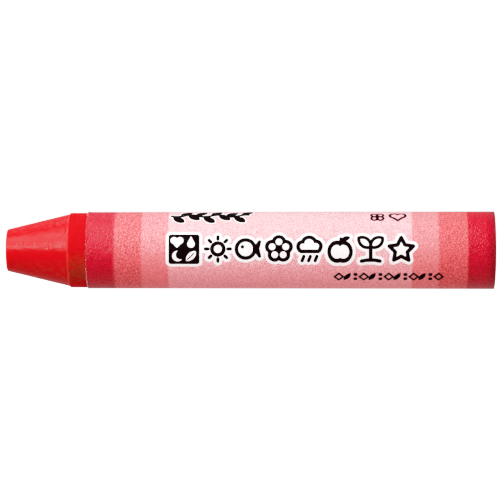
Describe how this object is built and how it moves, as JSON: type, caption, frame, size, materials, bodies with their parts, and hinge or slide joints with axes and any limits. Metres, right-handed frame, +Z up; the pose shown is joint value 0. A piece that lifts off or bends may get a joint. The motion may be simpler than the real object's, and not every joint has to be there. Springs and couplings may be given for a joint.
{
  "type": "thick wax crayon",
  "caption": "Thick wax crayon with a blunt moulded cone and a printed paper label wound round its barrel, which can slip off over the tip.",
  "frame": {"origin": "on the surface the crayon lies on, under the middle of its length and of its width", "axes": "+X along the crayon, from the writing tip to the flat tail; +Y from the printed side to the back; +Z up"},
  "size_m": [0.07, 0.011, 0.0111],
  "materials": {
    "wax": "pigmented wax with a soft sheen",
    "label_paper": "printed label paper, pale pink with red bands at both ends",
    "paste": "dried paste"
  },
  "bodies": {
    "stick": {"wax_stick": "wax"},
    "label": {"paper_label": "label_paper", "lap_paste": "paste"}
  },
  "joints": [
    {"name": "label_slide", "type": "slide", "parent": "stick", "child": "label", "axis": [-1, 0, 0], "range_m": [0, 0.07]}
  ]
}
